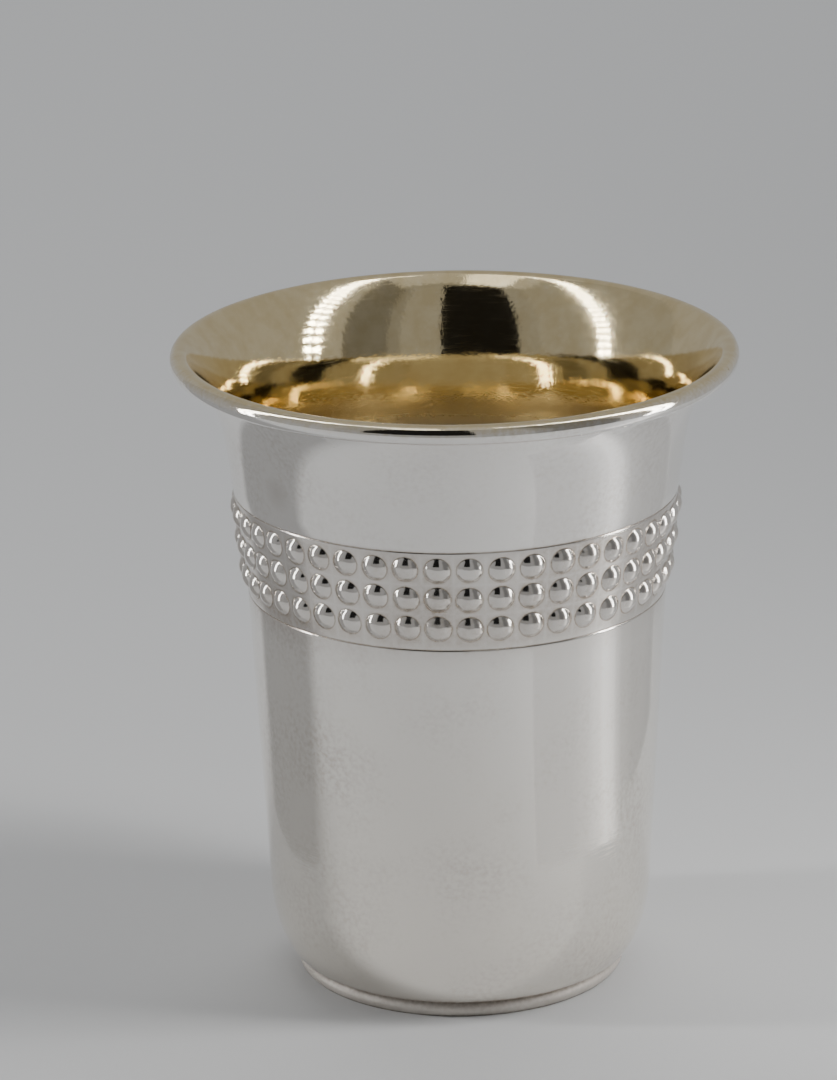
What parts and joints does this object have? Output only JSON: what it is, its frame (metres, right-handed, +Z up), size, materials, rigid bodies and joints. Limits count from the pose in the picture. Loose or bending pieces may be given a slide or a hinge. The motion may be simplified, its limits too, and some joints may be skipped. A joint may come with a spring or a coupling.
{
  "type": "kiddush cup",
  "caption": "Small silver kiddush cup with a gilded inside, a flared rolled lip, a band of pressed beads and a low foot ring.",
  "frame": {"origin": "middle of the foot ring's flat underside, at table level", "axes": "+Z up along the cup's axis, and -Y towards the side that the picture shows"},
  "size_m": [0.0648, 0.0648, 0.075],
  "materials": {
    "silver": "hand-polished silver with light tarnish outside, bright gilding inside",
    "foot_silver": "polished silver, duller where it has been handled"
  },
  "bodies": {
    "root": {"cup": "silver", "foot_ring": "foot_silver"}
  },
  "joints": []
}
